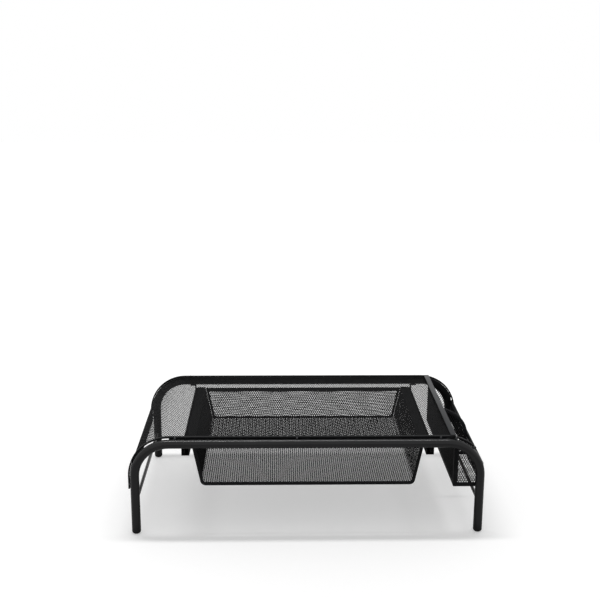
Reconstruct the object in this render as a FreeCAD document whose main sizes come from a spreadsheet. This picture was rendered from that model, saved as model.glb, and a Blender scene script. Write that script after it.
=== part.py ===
import FreeCAD, Part
import math
import os
import Sketcher
from FreeCAD import Vector

# A desk riser of black powder-coated steel: two bent tube arches carry a deck of fine
# expanded metal, with a mesh drawer hung under it on two rails and a mesh pocket set
# into its right-hand end.
# Frame: X to the right, Y to the back, Z up, origin on the desk under the middle.
# All sizes are millimetres.

SIZES = {
    # Tube arches
    "leg_spacing": 496.0,
    "arch_spacing": 279.0,
    "axis_height": 137.2,
    "tube_diameter": 13.0,
    "tube_wall": 1.0,
    "bend_radius": 49.5,
    # Foot plugs
    "plug_height": 5.0,
    "plug_rounding": 4.2,
    "plug_stem": 14.0,
    "plug_play": 0.1,
    # Edge strips that follow the arches a little outside them
    "strip_gap": 1.1,
    "strip_thickness": 2.2,
    "strip_width": 4.2,
    "strip_setback": 2.0,
    "skirt_bottom": 68.0,
    "front_strip_end_angle": 44.0,
    # Sheets, and the gap left for paint where curved faces meet
    "mesh_thickness": 0.8,
    "sheet_thickness": 1.0,
    "paint_gap": 0.1,
    "hem_height": 6.0,
    "hem_thickness": 1.5,
    # Grid of openings that stands for the deck's fine mesh
    "deck_grid_web": 6.0,
    # Weld studs between strip and tube
    "stud_width": 2.6,
    "stud_depth": 3.2,
    "end_stud_inset": 58.5,
    "middle_stud_offset": -16.0,
    "leg_stud_height": 76.0,
    "wall_stud_angle": 77.0,
    "front_end_stud_angle": 47.5,
    "rear_end_stud_angle": 21.0,
    # Cross bars on edge under the deck
    "bar_thickness": 3.0,
    "bar_height": 8.0,
    # Side rods between front and rear legs
    "rod_diameter": 5.0,
    "rod_height": 46.0,
    # Drawer rails
    "rail_inset": 78.1,
    "rail_width": 11.3,
    "rail_height": 10.2,
    "rail_sheet": 1.2,
    "rail_flange": 8.0,
    "hanger_width": 12.0,
    # Drawer
    "drawer_bottom": 71.5,
    "drawer_side_gap": 4.8,
    "drawer_slope": 11.7,
    "drawer_corner": 8.0,
    "drawer_headroom": 8.4,
    "drawer_lip": 4.5,
    "drawer_lip_thickness": 2.4,
    "drawer_lip_edge": 0.8,
    "slide_play": 0.3,
    "runner_width": 12.0,
    "runner_drop": 8.0,
    # Pocket in the right-hand end
    "pocket_width": 40.0,
    "pocket_overhang": 4.0,
    "rim_width": 8.0,
    "rim_setback": 2.0,
    "pocket_floor": 67.0,
    "pocket_side_top": 103.5,
    "divider_place": -17.5,
    "divider_inset": 0.8,
    "divider_shoulder_angle": 45.0,
}

# The deck's grid has this many openings along its width and this many along its depth.
OPENING_COUNTS = (12, 7)


class Size:
    """A number worked out from the sheet, with the expression that binds it to its cells."""

    def __init__(self, value, text):
        self.value = value
        self.text = text

    def __add__(self, other):
        return combine(self, "+", other, lambda a, b: a + b)

    def __radd__(self, other):
        return combine(other, "+", self, lambda a, b: a + b)

    def __sub__(self, other):
        return combine(self, "-", other, lambda a, b: a - b)

    def __rsub__(self, other):
        return combine(other, "-", self, lambda a, b: a - b)

    def __mul__(self, other):
        return combine(self, "*", other, lambda a, b: a * b)

    def __rmul__(self, other):
        return combine(other, "*", self, lambda a, b: a * b)

    def __truediv__(self, other):
        return combine(self, "/", other, lambda a, b: a / b)

    def __neg__(self):
        return 0 - self


def as_size(number):
    """A plain number joins in as a Size of its own."""
    return number if isinstance(number, Size) else Size(float(number), str(number))


def combine(left, sign, right, action):
    """Join two sizes with one sign, in value and in expression."""
    left = as_size(left)
    right = as_size(right)
    return Size(action(left.value, right.value), f"({left.text} {sign} {right.text})")


def cosine(angle):
    return Size(math.cos(math.radians(angle.value)), f"cos({angle.text})")


def sine(angle):
    return Size(math.sin(math.radians(angle.value)), f"sin({angle.text})")


def tangent(angle):
    return Size(math.tan(math.radians(angle.value)), f"tan({angle.text})")


def root(square):
    return Size(math.sqrt(square.value), f"sqrt({square.text})")


class Cells:
    """The sheet's cells by name, as Sizes."""

    def __getattr__(self, name):
        return Size(SIZES[name], f"sizes.{name}")


doc = FreeCAD.newDocument("desk_riser")
sheet = doc.addObject("Spreadsheet::Sheet", "sizes")
for row, (name, value) in enumerate(SIZES.items(), start=1):
    sheet.set(f"A{row}", name)
    sheet.set(f"B{row}", str(value))
    sheet.setAlias(f"B{row}", name)
doc.recompute()
cell = Cells()

# The corner of an arch, seen from the front: its centre and the radii about it.
leg_x = cell.leg_spacing / 2
corner_x = leg_x - cell.bend_radius
corner_z = cell.axis_height - cell.bend_radius
tube_radius = cell.tube_diameter / 2
strip_inner = cell.bend_radius + tube_radius + cell.strip_gap
strip_outer = strip_inner + cell.strip_thickness
deck_outer = strip_inner - cell.paint_gap
deck_inner = deck_outer - cell.mesh_thickness

# Places along the depth, measured from the middle of the stand.
arch_place = cell.arch_spacing / 2
tube_back = arch_place - tube_radius
strip_front = arch_place - cell.strip_setback
strip_back = strip_front - cell.strip_width

# Where one sheet stands on another.
deck_top = corner_z + deck_outer
deck_underside = corner_z + deck_inner
side_outer = leg_x + cell.pocket_overhang
side_inner = side_outer - cell.sheet_thickness
wall_right = side_outer - cell.pocket_width
wall_left = wall_right - cell.sheet_thickness
floor_top = cell.pocket_floor + cell.sheet_thickness
panel_back = tube_back - cell.sheet_thickness

# The drawer's rails hang from the cross bars, and its runners ride on the rails' lips.
bar_top = deck_underside - cell.paint_gap
bar_underside = bar_top - cell.bar_height
rail_inner = leg_x - cell.rail_inset
rail_outer = rail_inner + cell.rail_width
drawer_top = bar_underside - cell.drawer_headroom
lip_top = drawer_top - cell.slide_play
rail_bottom = lip_top - cell.rail_height
runner_top = drawer_top + cell.sheet_thickness
drawer_back = tube_back - cell.rail_sheet - cell.slide_play
drawer_front = tube_back


def bind(thing, **places):
    """Bind properties, written with __ for a dot, to sizes."""
    for name, size in places.items():
        thing.setExpression(name.replace("__", "."), as_size(size).text)


def name_part(thing, label, x=None, y=None, z=None):
    """Give a sub-part its name and its bound place."""
    thing.Label = label
    for axis, place in zip("xyz", (x, y, z)):
        if place is not None:
            thing.setExpression(f"Placement.Base.{axis}", place.text)
    return thing


def origin_plane(body, role):
    return [item for item in body.Origin.OriginFeatures if item.Role == role][0]


def new_sketch(body, name, role, offset=None):
    """A sketch on one of the body's own planes, moved along its normal by an offset."""
    sketch = body.newObject("Sketcher::SketchObject", name)
    sketch.AttachmentSupport = [(origin_plane(body, role), "")]
    sketch.MapMode = "FlatFace"
    if offset is not None:
        sketch.setExpression("AttachmentOffset.Base.z", offset.text)
    return sketch


def pin(sketch, geometry, position, corner):
    """Hold a point of the sketch at two bound coordinates."""
    for kind, size in zip(("DistanceX", "DistanceY"), corner):
        index = sketch.addConstraint(
            Sketcher.Constraint(kind, -1, 1, geometry, position, size.value))
        sketch.setExpression(f"Constraints[{index}]", size.text)


def arc_through(start, end, centre):
    """The arc from start to end about a centre, by its shorter way."""
    radius = start.distanceToPoint(centre)
    middle = (start + end) / 2 - centre
    middle.normalize()
    return Part.Arc(start, centre + middle * radius, end)


def end_position(sketch, geometry, point):
    """1 where the geometry starts at the point, 2 where it ends there."""
    near_start = sketch.getPoint(geometry, 1).distanceToPoint(point)
    near_end = sketch.getPoint(geometry, 2).distanceToPoint(point)
    return 1 if near_start < near_end else 2


def draw_line(sketch, corners, closed):
    """Draw straight runs and arcs through corners whose places are bound.

    A corner is (x, y), or (x, y, centre_x, centre_y) where an arc leads to the next one.
    """
    corners = [tuple(as_size(value) for value in corner) for corner in corners]
    points = [Vector(corner[0].value, corner[1].value, 0) for corner in corners]
    count = len(corners) if closed else len(corners) - 1
    for number in range(count):
        start = points[number]
        end = points[(number + 1) % len(points)]
        corner = corners[number]
        if len(corner) == 4:
            centre = Vector(corner[2].value, corner[3].value, 0)
            sketch.addGeometry(arc_through(start, end, centre), False)
        else:
            sketch.addGeometry(Part.LineSegment(start, end), False)
    for number in range(count):
        start = points[number]
        pin(sketch, number, end_position(sketch, number, start), corners[number][:2])
        if number or closed:
            before = (number - 1) % count
            sketch.addConstraint(Sketcher.Constraint(
                "Coincident",
                before, end_position(sketch, before, start),
                number, end_position(sketch, number, start)))
        corner = corners[number]
        if len(corner) == 4:
            span_x = corner[0] - corner[2]
            span_y = corner[1] - corner[3]
            radius = root(span_x * span_x + span_y * span_y)
            index = sketch.addConstraint(
                Sketcher.Constraint("Radius", number, radius.value))
            sketch.setExpression(f"Constraints[{index}]", radius.text)
    if not closed:
        pin(sketch, count - 1, end_position(sketch, count - 1, points[-1]), corners[-1][:2])


def pad_outline(body, name, corners, length, role="XZ_Plane", offset=None):
    """Pad a closed outline evenly to both sides of its plane."""
    sketch = new_sketch(body, f"{name}_outline", role, offset)
    draw_line(sketch, corners, closed=True)
    pad = body.newObject("PartDesign::Pad", name)
    pad.Profile = sketch
    pad.Midplane = True
    pad.setExpression("Length", as_size(length).text)
    return pad


def new_body(label, x=None, y=None, z=None):
    body = doc.addObject("PartDesign::Body", label)
    return name_part(body, label, x, y, z)


def new_box(label, low, high):
    """A plain bar or sheet between two bound corners."""
    box = doc.addObject("Part::Box", label)
    spans = [as_size(top) - as_size(bottom) for bottom, top in zip(low, high)]
    bind(box, Length=spans[0], Width=spans[1], Height=spans[2])
    return name_part(box, label, *[as_size(value) for value in low])


def strip_outline(end_angle):
    """A strip over an arch, from its left-hand foot to part way round the right corner."""
    left = -corner_x
    right = corner_x
    outer = strip_outer
    inner = strip_inner
    along = cosine(end_angle)
    up = sine(end_angle)
    return [
        (left - outer, cell.skirt_bottom),
        (left - outer, corner_z, left, corner_z),
        (left, corner_z + outer),
        (right, corner_z + outer, right, corner_z),
        (right + outer * along, corner_z + outer * up),
        (right + inner * along, corner_z + inner * up, right, corner_z),
        (right, corner_z + inner),
        (left, corner_z + inner, left, corner_z),
        (left - inner, corner_z),
        (left - inner, cell.skirt_bottom),
    ]


def make_arch(label, place):
    """A bent tube: two legs, two quarter bends and the straight top."""
    body = new_body(label, y=place)
    path = new_sketch(body, "path", "XZ_Plane")
    draw_line(path, [
        (-leg_x, cell.plug_height),
        (-leg_x, corner_z, -corner_x, corner_z),
        (-corner_x, cell.axis_height),
        (corner_x, cell.axis_height, corner_x, corner_z),
        (leg_x, corner_z),
        (leg_x, cell.plug_height),
    ], closed=False)
    ring = new_sketch(body, "ring", "XY_Plane", offset=cell.plug_height)
    centre = Vector(-leg_x.value, 0, 0)
    for radius in (tube_radius, tube_radius - cell.tube_wall):
        number = ring.addGeometry(Part.Circle(centre, Vector(0, 0, 1), radius.value), False)
        index = ring.addConstraint(Sketcher.Constraint("Radius", number, radius.value))
        ring.setExpression(f"Constraints[{index}]", radius.text)
        index = ring.addConstraint(
            Sketcher.Constraint("DistanceX", -1, 1, number, 3, centre.x))
        ring.setExpression(f"Constraints[{index}]", (-leg_x).text)
        ring.addConstraint(Sketcher.Constraint("PointOnObject", number, 3, -1))
    pipe = body.newObject("PartDesign::AdditivePipe", "tube")
    pipe.Profile = ring
    pipe.Spine = path
    return body


def add_round(body, name, radius, height, offset=None):
    """Pad a disc upwards from the body's floor plane, or from above it."""
    sketch = new_sketch(body, f"{name}_outline", "XY_Plane", offset)
    sketch.addGeometry(Part.Circle(Vector(0, 0, 0), Vector(0, 0, 1), radius.value), False)
    sketch.addConstraint(Sketcher.Constraint("Coincident", 0, 3, -1, 1))
    index = sketch.addConstraint(Sketcher.Constraint("Radius", 0, radius.value))
    sketch.setExpression(f"Constraints[{index}]", radius.text)
    pad = body.newObject("PartDesign::Pad", name)
    pad.Profile = sketch
    pad.setExpression("Length", as_size(height).text)
    return pad


def cut_grid(body, half_width, half_depth, web, counts):
    """Cut a plain grid of openings down through a body, evenly spaced about its middle."""
    cells = [half * 2 / count for half, count in zip((half_width, half_depth), counts)]
    left = web / 2 - half_width
    front = web / 2 - half_depth
    right = left + cells[0] - web
    back = front + cells[1] - web
    outline = new_sketch(body, "opening_outline", "XY_Plane", offset=deck_top)
    draw_line(outline, [(left, front), (right, front), (right, back), (left, back)], closed=True)
    opening = body.newObject("PartDesign::Pocket", "opening")
    opening.Profile = outline
    opening.setExpression("Length", (cell.mesh_thickness * 2).text)
    grid = body.newObject("PartDesign::MultiTransform", "grid")
    grid.Originals = [opening]
    rows = []
    for axis, size, count in zip(("H_Axis", "V_Axis"), cells, counts):
        row = body.newObject("PartDesign::LinearPattern", f"{axis.lower()}_rows")
        row.Direction = (outline, [axis])
        row.setExpression("Length", (size * (count - 1)).text)
        row.Occurrences = count
        rows.append(row)
    grid.Transformations = rows
    body.Tip = grid


def make_plug(label, x, y):
    """A rounded plastic cap under a leg, with a stem pushed up into the tube."""
    body = new_body(label, x=x, y=y)
    cap = add_round(body, "cap", tube_radius, cell.plug_height)
    doc.recompute()
    rim = [f"Edge{number}" for number, edge in enumerate(cap.Shape.Edges, start=1)
           if abs(edge.CenterOfMass.z) < 0.01]
    rounding = body.newObject("PartDesign::Fillet", "rounding")
    rounding.Base = (cap, rim)
    rounding.setExpression("Radius", cell.plug_rounding.text)
    add_round(body, "stem", tube_radius - cell.tube_wall - cell.plug_play,
              cell.plug_stem, offset=cell.plug_height)
    return body


def make_stud(label, side, x, z, turn):
    """A weld bead between the tube and the strip beside it, turned about the depth axis.

    It is drawn with the tube's axis at the origin and the strip above it. One box fills
    the step in front of the strip's edge and the other the gap under it; side is -1 at
    the front arch and 1 at the rear one.
    """
    reach = tube_radius + cell.strip_gap
    edge = -side * cell.strip_setback
    before = edge - cell.stud_depth
    bead = doc.addObject("Part::Box", f"{label}_bead")
    bind(bead, Length=cell.stud_width, Width=cell.stud_depth,
         Height=reach + cell.strip_thickness - cell.paint_gap,
         Placement__Base__x=-cell.stud_width / 2,
         Placement__Base__y=before if side < 0 else edge)
    foot = doc.addObject("Part::Box", f"{label}_foot")
    bind(foot, Length=cell.stud_width, Width=cell.stud_depth, Height=reach - cell.paint_gap,
         Placement__Base__x=-cell.stud_width / 2,
         Placement__Base__y=edge if side < 0 else before)
    tube = doc.addObject("Part::Cylinder", f"{label}_tube")
    bind(tube, Radius=tube_radius + cell.paint_gap, Height=cell.stud_width * 2,
         Placement__Base__x=-cell.stud_width)
    tube.Placement.Rotation = FreeCAD.Rotation(Vector(0, 1, 0), 90)
    both = doc.addObject("Part::Fuse", f"{label}_both")
    both.Base = bead
    both.Tool = foot
    stud = doc.addObject("Part::Cut", label)
    stud.Base = both
    stud.Tool = tube
    stud.Placement.Rotation = FreeCAD.Rotation(Vector(0, 1, 0), 1)
    bind(stud, Placement__Rotation__Angle=turn)
    return name_part(stud, label, x=x, y=arch_place * side, z=z)


def make_stud_group(label, side, angle):
    """The beads of one arch: three on top, one on the left leg, two in the right corner."""
    end_place = leg_x - cell.end_stud_inset
    studs = [make_stud(f"{label}_{number}", side, place, cell.axis_height, 0)
             for number, place in enumerate((-end_place, cell.middle_stud_offset, end_place))]
    studs.append(make_stud(f"{label}_left", side, -leg_x, cell.leg_stud_height, -90))
    for name, turn in (("wall", cell.wall_stud_angle), ("right", angle)):
        studs.append(make_stud(f"{label}_{name}", side,
                               corner_x + cell.bend_radius * cosine(turn),
                               corner_z + cell.bend_radius * sine(turn), 90 - turn))
    group = doc.addObject("Part::Compound", label)
    group.Links = studs
    return name_part(group, label)


def make_rod(label, x):
    """A side rod whose ends are coped to the legs that they are welded to."""
    rod = doc.addObject("Part::Cylinder", f"{label}_stock")
    bind(rod, Radius=cell.rod_diameter / 2, Height=cell.arch_spacing,
         Placement__Base__x=x, Placement__Base__y=arch_place, Placement__Base__z=cell.rod_height)
    rod.Placement.Rotation = FreeCAD.Rotation(Vector(1, 0, 0), 90)
    for end, place in (("front", -arch_place), ("rear", arch_place)):
        leg = doc.addObject("Part::Cylinder", f"{label}_{end}_cope")
        bind(leg, Radius=tube_radius + cell.paint_gap, Height=cell.rod_diameter * 2,
             Placement__Base__x=x, Placement__Base__y=place,
             Placement__Base__z=cell.rod_height - cell.rod_diameter)
        cut = doc.addObject("Part::Cut", f"{label}_{end}_end")
        cut.Base = rod
        cut.Tool = leg
        rod = cut
    return name_part(rod, label)


def mirrored(corners, side):
    """Corners drawn for the right-hand side, moved to the side given by its sign."""
    if side > 0:
        return corners
    return [(-as_size(corner[0]), *corner[1:]) for corner in corners]


def make_rail(label, side):
    """A folded steel channel, open on top, hung from both cross bars by folded hangers."""
    inner = rail_inner
    outer = rail_outer
    sheet_in = cell.rail_sheet
    flange = outer + cell.rail_flange
    body = new_body(label)
    profile = [
        (inner, rail_bottom),
        (outer, rail_bottom),
        (outer, lip_top),
        (outer - sheet_in, lip_top),
        (outer - sheet_in, rail_bottom + sheet_in),
        (inner + sheet_in, rail_bottom + sheet_in),
        (inner + sheet_in, lip_top),
        (inner, lip_top),
    ]
    pad_outline(body, "channel", mirrored(profile, side), tube_back * 2)
    hanger = [
        (outer - sheet_in, rail_bottom),
        (outer, rail_bottom),
        (outer, bar_underside - sheet_in),
        (flange, bar_underside - sheet_in),
        (flange, bar_underside),
        (outer - sheet_in, bar_underside),
    ]
    hanger_place = tube_back - cell.hanger_width / 2
    pad_outline(body, "front_hanger", mirrored(hanger, side), cell.hanger_width,
                offset=hanger_place)
    pad_outline(body, "rear_hanger", mirrored(hanger, side), cell.hanger_width,
                offset=-hanger_place)
    stop = [
        (inner, rail_bottom),
        (outer, rail_bottom),
        (outer, lip_top),
        (inner, lip_top),
    ]
    pad_outline(body, "end_stop", mirrored(stop, side), sheet_in,
                offset=sheet_in / 2 - tube_back)
    return body


def height_on_corner(radius, x):
    """How high a circle about the arch's corner stands at a place along the width."""
    return corner_z + root(radius * radius - (x - corner_x) * (x - corner_x))


def pocket_panel(radius, top_foot):
    """The outline of a pocket panel: square below, rounded like the arch above."""
    return [
        (wall_left, cell.pocket_floor),
        (side_inner, cell.pocket_floor),
        (side_inner, top_foot, corner_x, corner_z),
        (wall_left, height_on_corner(radius, wall_left)),
    ]


def make_pocket():
    """The organiser pocket: five mesh sheets and a divider, with a hem on its outer side.

    The inner wall ends in a flat rim that lies over both edge strips.
    """
    gap = cell.paint_gap
    wall = new_body("pocket_inner_wall", x=(wall_left + wall_right) / 2)
    end = panel_back - gap
    rim_left = wall_right - cell.rim_width
    rim_under = height_on_corner(strip_outer, rim_left) + gap
    rim_top = rim_under + cell.sheet_thickness
    pad_outline(wall, "sheet", [
        (-end, cell.pocket_floor), (end, cell.pocket_floor), (end, rim_top), (-end, rim_top),
    ], cell.sheet_thickness, role="YZ_Plane")
    rim_right = cell.sheet_thickness / 2
    pad_outline(wall, "rim", [
        (rim_right - cell.rim_width, rim_under), (rim_right, rim_under),
        (rim_right, rim_top), (rim_right - cell.rim_width, rim_top),
    ], (strip_front - cell.rim_setback) * 2)

    inside = wall_right + gap
    new_box("pocket_floor", (inside, -end, cell.pocket_floor), (side_inner - gap, end, floor_top))
    # The front panel ends behind its tube. The back one reaches up to the rear strip.
    back_radius = strip_inner - gap
    for label, side, panel in (
            ("pocket_front_panel", -1, pocket_panel(side_inner - corner_x, corner_z)),
            ("pocket_back_panel", 1,
             pocket_panel(back_radius, height_on_corner(back_radius, side_inner)))):
        body = new_body(label, y=(tube_back + panel_back) / 2 * side)
        pad_outline(body, "sheet", panel, cell.sheet_thickness)
    new_box("pocket_outer_panel",
            (side_inner, -tube_back, cell.pocket_floor),
            (side_outer, tube_back, cell.pocket_side_top))
    new_box("pocket_outer_hem",
            (side_outer, -tube_back, cell.pocket_side_top - cell.hem_height),
            (side_outer + cell.hem_thickness, tube_back, cell.pocket_side_top))

    # The divider follows the strip from the wall round to its shoulder, then turns in
    # more tightly to meet the outer panel.
    crest = strip_outer - cell.divider_inset
    outer_x = side_inner - gap
    along = cosine(cell.divider_shoulder_angle)
    up = sine(cell.divider_shoulder_angle)
    turn_radius = (outer_x - corner_x - crest * along) / (1 - along)
    turn_x = outer_x - turn_radius
    turn_z = corner_z + (crest - turn_radius) * up
    divider = new_body("pocket_divider", y=cell.divider_place)
    pad_outline(divider, "sheet", [
        (inside, floor_top + gap),
        (outer_x, floor_top + gap),
        (outer_x, turn_z, turn_x, turn_z),
        (corner_x + crest * along, corner_z + crest * up, corner_x, corner_z),
        (inside, height_on_corner(crest, inside)),
    ], cell.sheet_thickness)


def tray_side(height):
    """Half the width of the drawer's outside at a height; its top clears the rails."""
    drop = drawer_top - height
    return rail_inner - cell.drawer_side_gap - drop * tangent(cell.drawer_slope)


def tray_line(inset, top, side):
    """One half of the drawer's section from its bottom to its top, set in by an amount.

    It gives the corner bend's two ends, its centre and the top of the wall.
    """
    slope = cell.drawer_slope
    radius = cell.drawer_corner - inset
    bottom = cell.drawer_bottom + inset
    half_turn = (90 - slope) / 2
    foot = tray_side(cell.drawer_bottom) - cell.drawer_corner * tangent(half_turn)
    centre_z = cell.drawer_bottom + cell.drawer_corner
    wall_x = foot + radius * cosine(slope)
    wall_z = centre_z - radius * sine(slope)
    top_x = tray_side(top) - inset / cosine(slope)
    return mirrored([(foot, bottom), (wall_x, wall_z), (foot, centre_z), (top_x, top)], side)


def tray_section(depth_in, top):
    """The drawer's U-shaped section: its outside line, and back along a line set in."""
    outer_left = tray_line(as_size(0), top, -1)
    outer_right = tray_line(as_size(0), top, 1)
    inner_left = tray_line(depth_in, top, -1)
    inner_right = tray_line(depth_in, top, 1)
    return [
        outer_left[3],
        (*outer_left[1], *outer_left[2]),
        outer_left[0],
        (*outer_right[0], *outer_right[2]),
        outer_right[1],
        outer_right[3],
        inner_right[3],
        (*inner_right[1], *inner_right[2]),
        inner_right[0],
        (*inner_left[0], *inner_left[2]),
        inner_left[1],
        inner_left[3],
    ]


def make_drawer():
    """The sliding drawer: a mesh tray with a front lip, a back and two hooked runners."""
    gap = cell.paint_gap
    top = drawer_top
    length = drawer_front + drawer_back
    middle = (drawer_back - drawer_front) / 2
    tray = new_body("drawer_tray", y=middle)
    pad_outline(tray, "sheet", tray_section(cell.mesh_thickness, top), length)

    lip_middle = -drawer_front - cell.drawer_lip_thickness / 2
    lip = new_body("drawer_front_lip", y=lip_middle)
    fold = pad_outline(lip, "fold", tray_section(cell.drawer_lip, top), cell.drawer_lip_thickness)
    doc.recompute()
    front = lip_middle.value - cell.drawer_lip_thickness.value / 2
    edges = [f"Edge{number}" for number, edge in enumerate(fold.Shape.Edges, start=1)
             if abs(edge.CenterOfMass.y + lip_middle.value - front) < 0.01
             and edge.Length > cell.drawer_lip.value * 1.5]
    rounding = lip.newObject("PartDesign::Fillet", "rounded_front")
    rounding.Base = (fold, edges)
    rounding.setExpression("Radius", cell.drawer_lip_edge.text)

    back = new_body("drawer_back", y=drawer_back - cell.sheet_thickness / 2)
    inset = cell.mesh_thickness + gap
    left = tray_line(inset, top, -1)
    right = tray_line(inset, top, 1)
    pad_outline(back, "sheet", [
        left[3],
        (*left[1], *left[2]),
        left[0],
        (*right[0], *right[2]),
        right[1],
        right[3],
    ], cell.sheet_thickness)
    hem_half = tray_side(top - cell.hem_height) - cell.mesh_thickness * 2
    hem_back = drawer_back - cell.sheet_thickness
    new_box("drawer_back_hem",
            (-hem_half, hem_back - cell.hem_thickness, top - cell.hem_height),
            (hem_half, hem_back, top))

    runner_out = tray_side(top) + cell.runner_width
    for label, side in (("drawer_left_runner", -1), ("drawer_right_runner", 1)):
        runner = new_body(label, y=middle)
        wall_top = tray_line(cell.mesh_thickness, top, 1)[3][0]
        pad_outline(runner, "fold", mirrored([
            (wall_top, top),
            (runner_out - cell.sheet_thickness, top),
            (runner_out - cell.sheet_thickness, runner_top - cell.runner_drop),
            (runner_out, runner_top - cell.runner_drop),
            (runner_out, runner_top),
            (wall_top, runner_top),
        ], side), length)


# Arches, feet and what is welded to them
make_arch("front_arch_tube", -arch_place)
make_arch("rear_arch_tube", arch_place)
for end, depth in (("front", -arch_place), ("rear", arch_place)):
    make_plug(f"{end}_left_foot_plug", -leg_x, depth)
    make_plug(f"{end}_right_foot_plug", leg_x, depth)
make_rod("left_side_rod", -leg_x)
make_rod("right_side_rod", leg_x)

# Deck, its edge strips and its left-hand skirt
strip_middle = (strip_front + strip_back) / 2
for label, place, end_angle in (
        ("front_edge_strip", -strip_middle, cell.front_strip_end_angle),
        ("rear_edge_strip", strip_middle, as_size(0))):
    strip = new_body(label, y=place)
    pad_outline(strip, "strip", strip_outline(end_angle), cell.strip_width)

deck = new_body("deck_mesh")
deck_end = wall_left - cell.paint_gap
pad_outline(deck, "sheet", [
    (-corner_x - deck_outer, cell.skirt_bottom),
    (-corner_x - deck_outer, corner_z, -corner_x, corner_z),
    (-corner_x, deck_top),
    (corner_x, deck_top, corner_x, corner_z),
    (deck_end, height_on_corner(deck_outer, deck_end)),
    (deck_end, height_on_corner(deck_inner, deck_end), corner_x, corner_z),
    (corner_x, deck_underside),
    (-corner_x, deck_underside, -corner_x, corner_z),
    (-corner_x - deck_inner, corner_z),
    (-corner_x - deck_inner, cell.skirt_bottom),
], tube_back * 2)
cut_grid(deck, corner_x, tube_back - cell.bar_thickness, cell.deck_grid_web,
         OPENING_COUNTS)
new_box("skirt_hem",
        (-corner_x - strip_outer, -strip_back, cell.skirt_bottom),
        (-corner_x - strip_inner, strip_back, cell.skirt_bottom + cell.hem_height))
make_stud_group("front_weld_studs", -1, cell.front_end_stud_angle)
make_stud_group("rear_weld_studs", 1, cell.rear_end_stud_angle)

# Cross bars and rails under the deck
for label, low, high in (
        ("front_cross_bar", -tube_back, cell.bar_thickness - tube_back),
        ("rear_cross_bar", tube_back - cell.bar_thickness, tube_back)):
    new_box(label, (-corner_x, low, bar_underside), (corner_x, high, bar_top))
make_rail("left_drawer_rail", -1)
make_rail("right_drawer_rail", 1)

make_pocket()
make_drawer()

doc.recompute()

PARTS = [
    "front_arch_tube", "rear_arch_tube",
    "front_left_foot_plug", "front_right_foot_plug",
    "rear_left_foot_plug", "rear_right_foot_plug",
    "left_side_rod", "right_side_rod",
    "front_edge_strip", "rear_edge_strip", "deck_mesh", "skirt_hem",
    "front_weld_studs", "rear_weld_studs",
    "front_cross_bar", "rear_cross_bar", "left_drawer_rail", "right_drawer_rail",
    "pocket_inner_wall", "pocket_floor", "pocket_front_panel", "pocket_divider",
    "pocket_back_panel", "pocket_outer_panel", "pocket_outer_hem",
    "drawer_tray", "drawer_front_lip", "drawer_back", "drawer_back_hem",
    "drawer_left_runner", "drawer_right_runner",
]

for item in doc.Objects:
    if "Invalid" in item.State or "Error" in item.State:
        raise RuntimeError(f"{item.Label} did not compute: {item.State}")
shapes = {}
for label in PARTS:
    shape = doc.getObjectsByLabel(label)[0].Shape
    if shape.isNull() or not shape.isValid() or not shape.Solids:
        raise RuntimeError(f"{label} has no valid solid")
    shapes[label] = shape

os.makedirs("parts", exist_ok=True)
for label, shape in shapes.items():
    shape.exportStep(f"parts/{label}.step")
    box = shape.BoundBox
    print(f"{label}: {len(shape.Solids)} solid(s), {shape.Volume:.0f} mm3, "
          f"x {box.XMin:.1f} to {box.XMax:.1f}, y {box.YMin:.1f} to {box.YMax:.1f}, "
          f"z {box.ZMin:.1f} to {box.ZMax:.1f}")
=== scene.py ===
import math

import bpy
from mathutils import Matrix, Vector


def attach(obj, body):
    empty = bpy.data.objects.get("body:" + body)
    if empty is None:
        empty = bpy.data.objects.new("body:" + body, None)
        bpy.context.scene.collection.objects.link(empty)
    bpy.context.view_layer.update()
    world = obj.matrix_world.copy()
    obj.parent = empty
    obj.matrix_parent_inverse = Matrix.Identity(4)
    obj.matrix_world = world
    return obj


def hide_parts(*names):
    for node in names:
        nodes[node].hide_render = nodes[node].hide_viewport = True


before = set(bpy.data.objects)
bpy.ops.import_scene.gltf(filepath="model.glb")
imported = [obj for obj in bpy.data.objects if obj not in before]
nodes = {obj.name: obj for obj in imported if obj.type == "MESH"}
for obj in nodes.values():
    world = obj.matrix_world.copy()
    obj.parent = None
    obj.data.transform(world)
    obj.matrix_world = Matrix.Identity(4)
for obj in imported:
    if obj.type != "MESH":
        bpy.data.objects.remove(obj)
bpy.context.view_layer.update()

# Sizes are written in millimetres and turned into metres where a piece is made.
MM = 0.001

# One opening of the expanded metal, from strand middle to strand middle, and its strands.
SHORT_WAY = 3.5
LONG_WAY = 6.2
STRAND_WIDTH = 0.8
STRAND_DEPTH = 0.4
FLOOR_STRAND_WIDTH = 0.5
FLOOR_STRAND_DEPTH = 0.3

# The arch's corner seen from the front, with the tube's axis and the deck sheet about it.
CORNER_X = 198.5
CORNER_Z = 87.7
AXIS_RADIUS = 49.5
DECK_RADIUS = 56.6
SKIRT_BOTTOM = 68.0
DECK_END = 210.9

# The drawer's bent tray: where its bend starts, and the middle of its sheet. The back
# fits inside the bend.
TRAY_FOOT = 147.0
TRAY_RADIUS = 7.6
TRAY_FLOOR = 71.9
TRAY_SLOPE = math.radians(11.7)
TRAY_TOP = 127.4
BACK_CORNER_Z = 79.5
BACK_CORNER_RADIUS = 7.0
BACK_HALF_TOP = 164.1

# The pocket's floor and inner wall.
POCKET_BOTTOM = 67.0
POCKET_INSIDE = 212.2

# Sheet borders, and the weld beads between tube and strip.
BORDER_DEPTH = 1.0
BEAD_SIZE = (3.0, 5.2, 4.0)
BEAD_LIFT = 7.75
BEAD_Y = 138.1

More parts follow.
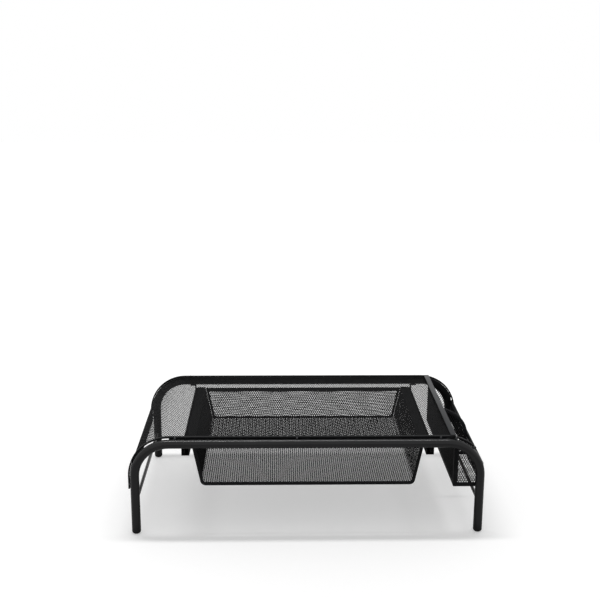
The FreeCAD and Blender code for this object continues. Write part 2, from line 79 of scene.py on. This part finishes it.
# The camera fitted to the picture: its place in metres and its turns in degrees.
PICTURE_WIDTH = 600
FOCAL_PIXELS = 999.28
CAMERA_PLACE = (-0.04504, -1.46754, 0.68252)
CAMERA_PITCH = 14.14
CAMERA_YAW = 1.39
CAMERA_ROLL = 0.29


# ---- working by hand

def deselect():
    if bpy.context.object and bpy.context.object.mode != "OBJECT":
        bpy.ops.object.mode_set(mode="OBJECT")
    bpy.ops.object.select_all(action="DESELECT")


def pick(obj, *others):
    deselect()
    for item in (obj, *others):
        item.select_set(True)
    bpy.context.view_layer.objects.active = obj


def edit_all(obj):
    """Enter edit mode with the whole piece selected."""
    pick(obj)
    bpy.ops.object.mode_set(mode="EDIT")
    bpy.ops.mesh.select_mode(type="FACE")
    bpy.ops.mesh.select_all(action="SELECT")


def apply_modifiers(obj):
    pick(obj)
    for modifier in list(obj.modifiers):
        bpy.ops.object.modifier_apply(modifier=modifier.name)


def apply_place(obj):
    pick(obj)
    bpy.ops.object.transform_apply(location=True, rotation=True, scale=True)


def move_to(obj, place=(0, 0, 0), turn=(0, 0, 0)):
    """Turn a piece in degrees about the origin and move it, and keep both in its mesh."""
    obj.rotation_euler = [math.radians(angle) for angle in turn]
    obj.location = [value * MM for value in place]
    apply_place(obj)


def join(*pieces):
    pick(*pieces)
    bpy.ops.object.join()
    return pieces[0]


def thicken(obj, depth):
    solid = obj.modifiers.new("depth", "SOLIDIFY")
    solid.thickness = depth * MM
    solid.offset = 0
    apply_modifiers(obj)


def soften(obj, width):
    """Round the sharp edges of a piece and shade it smoothly."""
    rounding = obj.modifiers.new("rounded", "BEVEL")
    rounding.width = width * MM
    rounding.segments = 3
    rounding.limit_method = "ANGLE"
    apply_modifiers(obj)
    bpy.ops.object.shade_smooth_by_angle(angle=math.radians(40))


def trim(obj, cuts):
    """Cut off what lies beyond each line of a flat piece: a point and the way outward."""
    edit_all(obj)
    for (x, y), (out_x, out_y) in cuts:
        bpy.ops.mesh.select_all(action="SELECT")
        bpy.ops.mesh.bisect(plane_co=(x * MM, y * MM, 0), plane_no=(out_x, out_y, 0),
                            clear_outer=True)
    bpy.ops.object.mode_set(mode="OBJECT")


def finish_piece(obj, name, body, replaced=()):
    """Name a piece, hide what it stands for and attach it to what it moves with."""
    obj.name = name
    obj.data.name = name
    for node in replaced:
        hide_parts(node)
    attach(obj, body)
    return obj


# ---- materials

def powder_coat_group():
    """The tone of a sprayed and baked coat: soft clouds, fine grain and an orange-peel lift."""
    group = bpy.data.node_groups.new("powder_coat_tone", "ShaderNodeTree")
    for name, kind, value in (("Cloud Scale", "Float", 30.0), ("Grain Scale", "Float", 900.0),
                              ("Dark", "Color", (0.006, 0.006, 0.006, 1)),
                              ("Light", "Color", (0.012, 0.012, 0.012, 1)),
                              ("Roughness", "Float", 0.35), ("Uneven", "Float", 0.1)):
        socket = group.interface.new_socket(name, in_out="INPUT",
                                            socket_type=f"NodeSocket{kind}")
        socket.default_value = value
    for name, kind in (("Color", "Color"), ("Roughness", "Float"), ("Height", "Float")):
        group.interface.new_socket(name, in_out="OUTPUT", socket_type=f"NodeSocket{kind}")
    link = group.links.new
    entry = group.nodes.new("NodeGroupInput")
    leave = group.nodes.new("NodeGroupOutput")
    place = group.nodes.new("ShaderNodeTexCoord")
    clouds = group.nodes.new("ShaderNodeTexNoise")
    clouds.inputs["Detail"].default_value = 4.0
    grain = group.nodes.new("ShaderNodeTexNoise")
    grain.inputs["Detail"].default_value = 2.0
    for texture, name in ((clouds, "Cloud Scale"), (grain, "Grain Scale")):
        link(place.outputs["Object"], texture.inputs["Vector"])
        link(entry.outputs[name], texture.inputs["Scale"])
    both = group.nodes.new("ShaderNodeMix")
    both.inputs["Factor"].default_value = 0.4
    link(clouds.outputs["Fac"], both.inputs["A"])
    link(grain.outputs["Fac"], both.inputs["B"])
    spread = group.nodes.new("ShaderNodeMapRange")
    spread.inputs["From Min"].default_value = 0.35
    spread.inputs["From Max"].default_value = 0.65
    link(both.outputs["Result"], spread.inputs["Value"])
    tone = group.nodes.new("ShaderNodeMix")
    tone.data_type = "RGBA"
    link(spread.outputs["Result"], tone.inputs["Factor"])
    link(entry.outputs["Dark"], tone.inputs[6])
    link(entry.outputs["Light"], tone.inputs[7])
    link(tone.outputs[2], leave.inputs["Color"])
    rough = group.nodes.new("ShaderNodeMath")
    rough.operation = "MULTIPLY_ADD"
    link(spread.outputs["Result"], rough.inputs[0])
    link(entry.outputs["Uneven"], rough.inputs[1])
    link(entry.outputs["Roughness"], rough.inputs[2])
    link(rough.outputs["Value"], leave.inputs["Roughness"])
    link(grain.outputs["Fac"], leave.inputs["Height"])
    return group


powder_coat = powder_coat_group()


def coat_material(name, dark, light, roughness, uneven, bump, specular, clouds=30.0,
                  grain=900.0):
    """A coat between two colours, with its roughness, how uneven it is and its lift."""
    material = bpy.data.materials.new(name)
    material.use_nodes = True
    tree = material.node_tree
    shader = tree.nodes["Principled BSDF"]
    shader.inputs["Specular IOR Level"].default_value = specular
    group = tree.nodes.new("ShaderNodeGroup")
    group.node_tree = powder_coat
    for socket, value in (("Cloud Scale", clouds), ("Grain Scale", grain),
                          ("Dark", (*dark, 1)), ("Light", (*light, 1)),
                          ("Roughness", roughness), ("Uneven", uneven)):
        group.inputs[socket].default_value = value
    lift = tree.nodes.new("ShaderNodeBump")
    lift.inputs["Strength"].default_value = bump
    lift.inputs["Distance"].default_value = 0.05 * MM
    tree.links.new(group.outputs["Color"], shader.inputs["Base Color"])
    tree.links.new(group.outputs["Roughness"], shader.inputs["Roughness"])
    tree.links.new(group.outputs["Height"], lift.inputs["Height"])
    tree.links.new(lift.outputs["Normal"], shader.inputs["Normal"])
    return material


tube_coat = coat_material("tube_coat", (0.004, 0.0042, 0.0047), (0.008, 0.0082, 0.009),
                          0.2, 0.05, 0.1, 0.28, grain=700.0)
# A lighter copy of the black coat: painted sheen on the rim's top and the divider's crest, where
# they catch the light.
painted_sheen_coat = coat_material("painted_sheen_coat", (0.010, 0.0105, 0.012), (0.020, 0.021, 0.0235),
                         0.3, 0.12, 0.3, 0.14)
sheet_coat = coat_material("sheet_coat", (0.006, 0.0062, 0.0067), (0.013, 0.0132, 0.0142),
                           0.45, 0.14, 0.4, 0.05)
mesh_coat = coat_material("mesh_coat", (0.005, 0.0051, 0.0054), (0.012, 0.0122, 0.0128),
                          0.5, 0.12, 0.3, 0.02, grain=1500.0)
# A much lighter copy of the black coat: painted glint on the weld beads.
painted_glint_weld_coat = coat_material("painted_glint_weld_coat", (0.03, 0.031, 0.033), (0.06, 0.061, 0.064),
                          0.5, 0.2, 0.6, 0.08, clouds=400.0, grain=1200.0)
plug_plastic = coat_material("plug_plastic", (0.007, 0.007, 0.007), (0.012, 0.012, 0.012),
                             0.48, 0.1, 0.6, 0.15, grain=2200.0)


def give(obj, material):
    obj.data.materials.clear()
    obj.data.materials.append(material)
    return obj


for name, node in nodes.items():
    if "plug" in name:
        give(node, plug_plastic)
    elif "tube" in name or "rod" in name:
        give(node, tube_coat)
    else:
        give(node, sheet_coat)


# ---- expanded metal, laid flat

def open_mesh(low, high, width=STRAND_WIDTH, depth=STRAND_DEPTH, cuts=(),
              pitch=(SHORT_WAY, LONG_WAY)):
    """A flat sheet of expanded metal between two corners, its pattern fixed to the origin."""
    start = [math.floor(value / way) * way for value, way in zip(low, pitch)]
    deselect()
    bpy.ops.mesh.primitive_circle_add(vertices=4, radius=0.5, fill_type="NGON",
                                      location=(start[0] * MM, start[1] * MM, 0))
    sheet = bpy.context.object
    sheet.scale = (pitch[0] * MM, pitch[1] * MM, 1)
    apply_place(sheet)
    edit_all(sheet)
    bpy.ops.mesh.inset(thickness=width / 2 * MM)
    bpy.ops.mesh.delete(type="ONLY_FACE")
    bpy.ops.object.mode_set(mode="OBJECT")
    across = math.ceil((high[0] - start[0]) / pitch[0]) + 1
    along = math.ceil((high[1] - start[1]) / pitch[1]) + 1
    for count, offset in ((2, (pitch[0] / 2, pitch[1] / 2, 0)), (across, (pitch[0], 0, 0)),
                          (along, (0, pitch[1], 0))):
        rows = sheet.modifiers.new("rows", "ARRAY")
        rows.use_relative_offset = False
        rows.use_constant_offset = True
        rows.constant_offset_displace = [value * MM for value in offset]
        rows.count = count
    apply_modifiers(sheet)
    edit_all(sheet)
    bpy.ops.mesh.remove_doubles(threshold=0.01 * MM)
    sides = [((low[0], 0), (-1, 0)), ((high[0], 0), (1, 0)),
             ((0, low[1]), (0, -1)), ((0, high[1]), (0, 1))]
    trim(sheet, [*sides, *cuts])
    thicken(sheet, depth)
    return give(sheet, mesh_coat)


def flat_plate(low, high):
    deselect()
    middle = [(a + b) / 2 * MM for a, b in zip(low, high)]
    bpy.ops.mesh.primitive_plane_add(size=1, location=(*middle, 0))
    plate = bpy.context.object
    plate.scale = ((high[0] - low[0]) * MM, (high[1] - low[1]) * MM, 1)
    apply_place(plate)
    return plate


def folded_border(low, high, width, depth=BORDER_DEPTH, cuts=(), finish=sheet_coat):
    """The solid edge round a mesh panel."""
    border = flat_plate(low, high)
    trim(border, cuts)
    edit_all(border)
    bpy.ops.mesh.inset(thickness=width * MM)
    bpy.ops.mesh.delete(type="ONLY_FACE")
    thicken(border, depth)
    soften(border, depth / 4)
    return give(border, finish)


def mesh_panel(low, high, border, cuts=(), **look):
    """A flat panel: expanded metal with a solid edge all round."""
    return join(folded_border(low, high, border, cuts=cuts, **look),
                open_mesh(low, high, cuts=cuts))


def edge_band(low, high, steps, depth=0.7):
    """A narrow solid band along a sheet's edge, with enough steps to be rolled."""
    deselect()
    middle = [(a + b) / 2 * MM for a, b in zip(low, high)]
    bpy.ops.mesh.primitive_grid_add(x_subdivisions=steps, y_subdivisions=1, size=1,
                                    location=(*middle, 0))
    band = bpy.context.object
    band.scale = ((high[0] - low[0]) * MM, (high[1] - low[1]) * MM, 1)
    apply_place(band)
    thicken(band, depth)
    return give(band, sheet_coat)


def roll(sheet, start, side, angle, radius):
    """Bend a flat sheet from a line across it, to that side, and keep the rest straight.

    A positive angle bends it upward and a negative one downward.
    """
    length = radius * abs(angle)
    move_to(sheet, (-start, 0, 0))
    move_to(sheet, turn=(90, 0, 0))
    places = [vertex.co.x / MM for vertex in sheet.data.vertices]
    low = min(places)
    span = max(places) - low
    ends = sorted((0, side * length))
    bend = sheet.modifiers.new("bend", "SIMPLE_DEFORM")
    bend.deform_method = "BEND"
    bend.deform_axis = "Z"
    bend.angle = -angle
    bend.limits = [(end - low) / span for end in ends]
    apply_modifiers(sheet)
    move_to(sheet, turn=(-90, 0, 0))
    move_to(sheet, (start, 0, 0))
    return sheet


def tangents(centre, radius, angles):
    """Cuts that round a flat piece's corner: tangents of a circle, in degrees."""
    cuts = []
    for angle in angles:
        way = (math.cos(math.radians(angle)), math.sin(math.radians(angle)))
        cuts.append(((centre[0] + radius * way[0], centre[1] + radius * way[1]), way))
    return cuts


# ---- deck: one sheet in three lengths, rolled down over both corners

bend_length = DECK_RADIUS * math.pi / 2
skirt_length = CORNER_Z - SKIRT_BOTTOM
end_turn = math.asin((DECK_END - CORNER_X) / DECK_RADIUS)
left = -CORNER_X - bend_length - skirt_length
right = CORNER_X + DECK_RADIUS * end_turn
for name, low, high, bend in (
        ("deck_mesh_left", left, -66.5, (-CORNER_X, -1, -math.pi / 2)),
        ("deck_mesh_middle", -66.5, 66.5, None),
        ("deck_mesh_right", 66.5, right, (CORNER_X, 1, -end_turn))):
    steps = round((high - low) / 3)
    strip = join(
        open_mesh((low, -132.6), (high, 132.6)),
        edge_band((low, -133.0), (high, -131.6), steps),
        edge_band((low, 131.6), (high, 133.0), steps))
    if bend:
        strip = roll(strip, *bend, DECK_RADIUS)
    move_to(strip, (0, 0, CORNER_Z + DECK_RADIUS))
    finish_piece(strip, name, "stand", ["deck_mesh"])

# ---- drawer: the bent tray in two halves, and its back

tray_turn = math.pi / 2 - TRAY_SLOPE
wall_start = TRAY_FLOOR + TRAY_RADIUS * (1 - math.cos(tray_turn))
wall_length = (TRAY_TOP - wall_start) / math.cos(TRAY_SLOPE)
tray_end = TRAY_FOOT + TRAY_RADIUS * tray_turn + wall_length
for name, low, high, side in (("drawer_mesh_left", -tray_end, 0, -1),
                              ("drawer_mesh_right", 0, tray_end, 1)):
    half = open_mesh((low, -133.0), (high, 131.4), pitch=(LONG_WAY, SHORT_WAY))
    half = roll(half, side * TRAY_FOOT, side, tray_turn, TRAY_RADIUS)
    move_to(half, (0, 0, TRAY_FLOOR))
    finish_piece(half, name, "drawer", ["drawer_tray"])

back_cuts = []
for side in (-1, 1):
    way = (side * math.cos(TRAY_SLOPE), -math.sin(TRAY_SLOPE))
    back_cuts.append(((side * BACK_HALF_TOP, TRAY_TOP), way))
    back_cuts += tangents((side * TRAY_FOOT, BACK_CORNER_Z), BACK_CORNER_RADIUS,
                          [-90 + side * turn for turn in (60, 40, 20)])
back = mesh_panel((-165.0, 72.5), (165.0, TRAY_TOP), 4.0, cuts=back_cuts)
move_to(back, (0, 131.0, 0), (90, 0, 0))
finish_piece(back, "drawer_back_panel", "drawer", ["drawer_back"])

# ---- pocket: inner wall and its rim, floor, three upright panels and the outer side

wall = mesh_panel((-131.8, POCKET_BOTTOM), (131.8, 147.0), 6.0)
move_to(wall, (211.5, 0, 0), (90, 0, 90))
finish_piece(wall, "pocket_inner_panel", "stand", ["pocket_inner_wall"])

rim = flat_plate((204.0, -135.5), (212.0, 135.5))
thicken(rim, 1.0)
move_to(rim, (0, 0, 147.34))
soften(rim, 0.4)
# The rim takes the lighter coat: painted sheen on its top.
give(rim, painted_sheen_coat)
finish_piece(rim, "pocket_rim", "stand", ["pocket_inner_wall"])

floor_mesh = open_mesh((POCKET_INSIDE, -131.8), (250.8, 131.8), FLOOR_STRAND_WIDTH,
                       FLOOR_STRAND_DEPTH)
move_to(floor_mesh, (0, 0, POCKET_BOTTOM + BORDER_DEPTH / 2))
finish_piece(floor_mesh, "pocket_floor_panel", "stand", ["pocket_floor"])

for name, node, place, radius, angles, border in (
        ("pocket_front_mesh", "pocket_front_panel", -132.5, 52.4, range(5, 80, 8), 6.0),
        ("pocket_back_mesh", "pocket_back_panel", 132.5, 56.9, range(26, 80, 8), 8.0)):
    panel = mesh_panel((211.1, 67.1), (250.9, 143.2), border,
                       cuts=tangents((CORNER_X, CORNER_Z), radius, angles))
    move_to(panel, (0, place, 0), (90, 0, 0))
    finish_piece(panel, name, "stand", [node])

crest_cuts = [*tangents((CORNER_X, CORNER_Z), 58.5, range(45, 80, 6)),
              *tangents((213.2, 102.4), 37.6, range(3, 45, 6))]
# The divider takes the lighter coat: painted sheen along its crest.
divider = mesh_panel((POCKET_INSIDE, 68.2), (250.8, 145.0), 5.0, cuts=crest_cuts, depth=1.6,
                     finish=painted_sheen_coat)
move_to(divider, (0, -17.5, 0), (90, 0, 0))
finish_piece(divider, "pocket_divider_panel", "stand", ["pocket_divider"])

outer = join(open_mesh((-132.9, 67.1), (132.9, 103.4)),
             edge_band((-132.9, 97.5), (132.9, 103.4), 8, BORDER_DEPTH))
move_to(outer, (251.5, 0, 0), (90, 0, 90))
finish_piece(outer, "pocket_outer_side", "stand", ["pocket_outer_panel"])


# ---- weld beads between tubes and strips

def weld_bead(x, y, z, turn):
    """A small puddle of weld that bridges from the tube to the strip's edge."""
    deselect()
    bpy.ops.mesh.primitive_uv_sphere_add(segments=16, ring_count=10, radius=0.5)
    bead = bpy.context.object
    bead.scale = [value * MM for value in BEAD_SIZE]
    apply_place(bead)
    move_to(bead, (0, 0, BEAD_LIFT))
    move_to(bead, (x, y, z), (0, turn, 0))
    bpy.ops.object.shade_smooth()
    # The lighter coat is a painted glint on the bead.
    return give(bead, painted_glint_weld_coat)


top_z = CORNER_Z + AXIS_RADIUS
for end, side, last_angle in (("front", -1, 47.5), ("rear", 1, 21.0)):
    spots = [(-189.5, top_z, 0), (-16.0, top_z, 0), (189.5, top_z, 0),
             (-CORNER_X - AXIS_RADIUS, 76.0, -90)]
    for angle in (77.0, last_angle):
        spots.append((CORNER_X + AXIS_RADIUS * math.cos(math.radians(angle)),
                      CORNER_Z + AXIS_RADIUS * math.sin(math.radians(angle)), 90 - angle))
    beads = [weld_bead(x, side * BEAD_Y, z, turn) for x, z, turn in spots]
    group = join(*beads)
    finish_piece(group, f"{end}_weld_beads", "stand", [f"{end}_weld_studs"])


# ---- floor, light and camera

def pale_floor():
    """A white floor that keeps the stand's shadow and fades into the white far away."""
    material = bpy.data.materials.new("floor_white")
    material.use_nodes = True
    tree = material.node_tree
    shader = tree.nodes["Principled BSDF"]
    shader.inputs["Base Color"].default_value = (0.7, 0.7, 0.7, 1)
    shader.inputs["Roughness"].default_value = 0.7
    shader.inputs["Specular IOR Level"].default_value = 0.1
    path = tree.nodes.new("ShaderNodeLightPath")
    place = tree.nodes.new("ShaderNodeTexCoord")
    away = tree.nodes.new("ShaderNodeVectorMath")
    away.operation = "LENGTH"
    fade = tree.nodes.new("ShaderNodeMapRange")
    for name, value in (("From Min", 0.2), ("From Max", 1.2), ("To Min", 0.34), ("To Max", 0.68)):
        fade.inputs[name].default_value = value
    tree.links.new(place.outputs["Object"], away.inputs[0])
    tree.links.new(away.outputs["Value"], fade.inputs["Value"])
    glow = tree.nodes.new("ShaderNodeMath")
    glow.operation = "MULTIPLY"
    tree.links.new(path.outputs["Is Camera Ray"], glow.inputs[0])
    tree.links.new(fade.outputs["Result"], glow.inputs[1])
    tree.links.new(glow.outputs["Value"], shader.inputs["Emission Strength"])
    shader.inputs["Emission Color"].default_value = (1, 1, 1, 1)
    deselect()
    bpy.ops.mesh.primitive_plane_add(size=12, location=(0, 0, 0))
    floor = bpy.context.object
    floor.name = "floor"
    give(floor, material)


pale_floor()


def room(strength):
    """Even light from all round, behind which the camera and reflections see white."""
    world = bpy.data.worlds.new("room")
    bpy.context.scene.world = world
    world.use_nodes = True
    tree = world.node_tree
    light = tree.nodes["Background"]
    light.inputs["Color"].default_value = (1, 1, 1, 1)
    light.inputs["Strength"].default_value = strength
    white = tree.nodes.new("ShaderNodeBackground")
    white.inputs["Color"].default_value = (1, 1, 1, 1)
    white.inputs["Strength"].default_value = 1.0
    path = tree.nodes.new("ShaderNodeLightPath")
    seen = path.outputs["Is Camera Ray"]
    for name in ("Is Glossy Ray", "Is Transmission Ray"):
        either = tree.nodes.new("ShaderNodeMath")
        either.operation = "MAXIMUM"
        tree.links.new(seen, either.inputs[0])
        tree.links.new(path.outputs[name], either.inputs[1])
        seen = either.outputs["Value"]
    mix = tree.nodes.new("ShaderNodeMixShader")
    tree.links.new(seen, mix.inputs["Fac"])
    tree.links.new(light.outputs["Background"], mix.inputs[1])
    tree.links.new(white.outputs["Background"], mix.inputs[2])
    tree.links.new(mix.outputs["Shader"], tree.nodes["World Output"].inputs["Surface"])


room(0.5)


def strip_lamp(name, place, size, power):
    """A long lamp overhead that shines straight down, with its long side along the width."""
    data = bpy.data.lights.new(name, "AREA")
    data.shape = "RECTANGLE"
    data.size, data.size_y = size
    data.energy = power
    lamp = bpy.data.objects.new(name, data)
    lamp.location = place
    bpy.context.scene.collection.objects.link(lamp)


strip_lamp("overhead_lamp_left", (-0.33, 0.1, 1.7), (0.7, 0.12), 10)
strip_lamp("overhead_lamp_right", (0.3, 0.1, 1.7), (0.56, 0.12), 5)

camera_data = bpy.data.cameras.new("camera")
camera = bpy.data.objects.new("camera", camera_data)
bpy.context.scene.collection.objects.link(camera)
bpy.context.scene.camera = camera
camera_data.sensor_fit = "HORIZONTAL"
camera_data.sensor_width = 36
camera_data.lens = FOCAL_PIXELS * camera_data.sensor_width / PICTURE_WIDTH
camera_data.clip_end = 50
pitch = math.radians(CAMERA_PITCH)
yaw = math.radians(CAMERA_YAW)
roll_angle = math.radians(CAMERA_ROLL)
ahead = Vector((math.sin(yaw) * math.cos(pitch), math.cos(yaw) * math.cos(pitch),
                -math.sin(pitch)))
level = Vector((math.cos(yaw), -math.sin(yaw), 0))
upward = level.cross(ahead)
side = level * math.cos(roll_angle) + upward * math.sin(roll_angle)
top = upward * math.cos(roll_angle) - level * math.sin(roll_angle)
camera.matrix_world = Matrix((
    (side.x, top.x, -ahead.x, CAMERA_PLACE[0]),
    (side.y, top.y, -ahead.y, CAMERA_PLACE[1]),
    (side.z, top.z, -ahead.z, CAMERA_PLACE[2]),
    (0, 0, 0, 1),
))
bpy.context.view_layer.update()

bpy.context.scene.view_settings.view_transform = "Standard"
